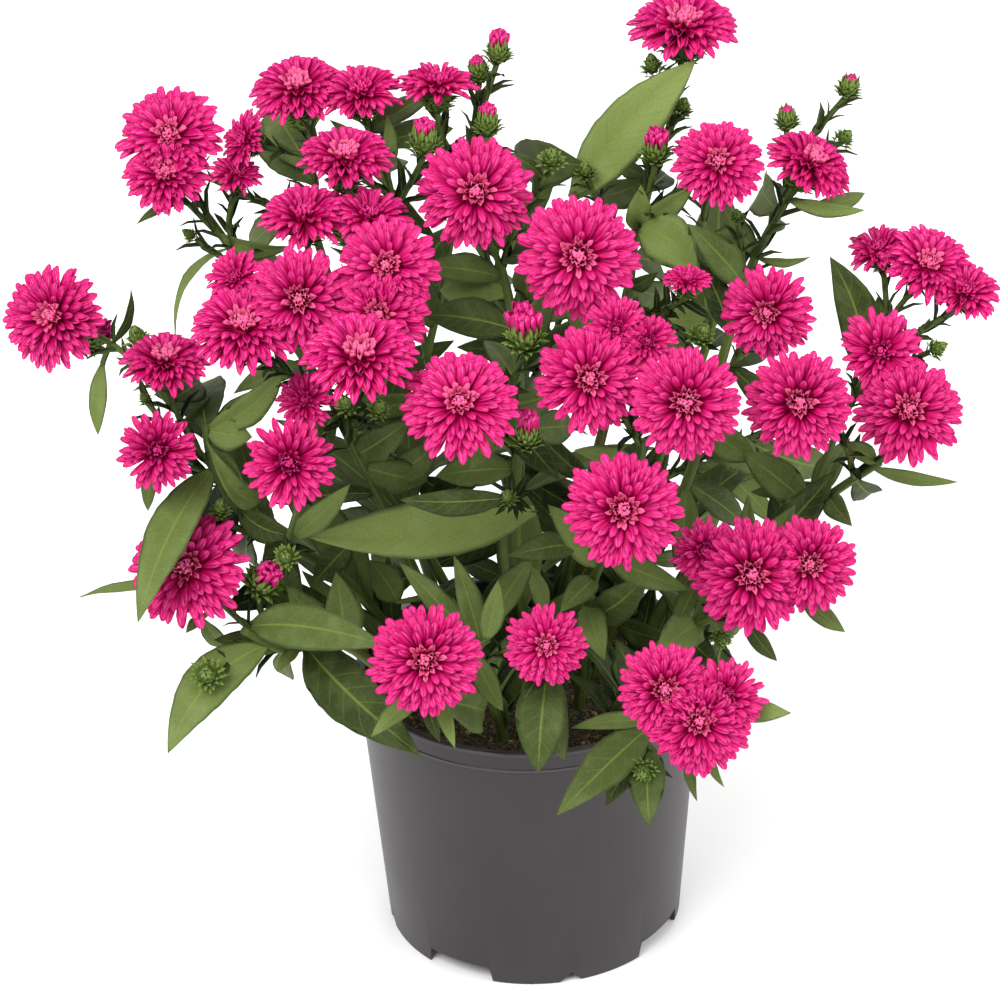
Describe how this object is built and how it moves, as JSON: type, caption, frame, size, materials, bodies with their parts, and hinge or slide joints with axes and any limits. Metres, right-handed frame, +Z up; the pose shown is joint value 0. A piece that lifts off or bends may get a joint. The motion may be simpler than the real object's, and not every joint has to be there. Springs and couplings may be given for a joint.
{
  "type": "potted aster",
  "caption": "Bushy aster in a round plastic nursery pot, with leafy stems that carry full double pink blooms and buds.",
  "frame": {"origin": "on the ground, under the middle of the whole plant's box", "axes": "+Z up along the pot's axis, -Y towards the side that the picture shows, +X to the right of it"},
  "size_m": [0.3296, 0.264, 0.3276],
  "materials": {
    "pot_plastic": "satin",
    "peat": "rough",
    "leaf_green": "matte",
    "petal_pink": "matte"
  },
  "bodies": {
    "root": {"pot": "pot_plastic", "soil": "peat", "stem_upper_left": "leaf_green", "stem_left_cluster": "leaf_green", "stem_left": "leaf_green", "stem_low_left": "leaf_green", "stem_front": "leaf_green", "stem_middle": "leaf_green", "stem_middle_right": "leaf_green", "stem_top": "leaf_green", "stem_top_right": "leaf_green", "stem_right": "leaf_green", "stem_low_right": "leaf_green", "stem_back_left": "leaf_green", "stem_back": "leaf_green", "stem_back_right": "leaf_green", "bloom_back_1": "petal_pink", "bloom_back_2": "petal_pink", "bloom_back_3": "petal_pink", "bloom_back_4": "petal_pink", "bloom_back_5": "petal_pink", "bloom_back_6": "petal_pink", "bloom_back_7": "petal_pink", "bloom_back_8": "petal_pink", "bloom_back_9": "petal_pink", "bloom_back_10": "petal_pink", "bloom_back_11": "petal_pink", "bloom_back_12": "petal_pink", "bloom_cluster_front": "petal_pink", "bloom_cluster_middle": "petal_pink", "bloom_cluster_top": "petal_pink", "bloom_crown": "petal_pink", "bloom_edge_right": "petal_pink", "bloom_far_left": "petal_pink", "bloom_far_right": "petal_pink", "bloom_front": "petal_pink", "bloom_front_right": "petal_pink", "bloom_front_small": "petal_pink", "bloom_high_left": "petal_pink", "bloom_high_right": "petal_pink", "bloom_inner_right": "petal_pink", "bloom_left": "petal_pink", "bloom_left_front": "petal_pink", "bloom_left_hidden": "petal_pink", "bloom_left_low": "petal_pink", "bloom_low_left": "petal_pink", "bloom_low_right": "petal_pink", "bloom_middle": "petal_pink", "bloom_middle_high": "petal_pink", "bloom_middle_right": "petal_pink", "bloom_middle_top": "petal_pink", "bloom_right": "petal_pink", "bloom_right_front": "petal_pink", "bloom_right_middle": "petal_pink", "bloom_small_right": "petal_pink", "bloom_top": "petal_pink", "bloom_top_left": "petal_pink", "bloom_tucked_left": "petal_pink", "bloom_upper_left": "petal_pink", "bloom_upper_right": "petal_pink"}
  },
  "joints": []
}
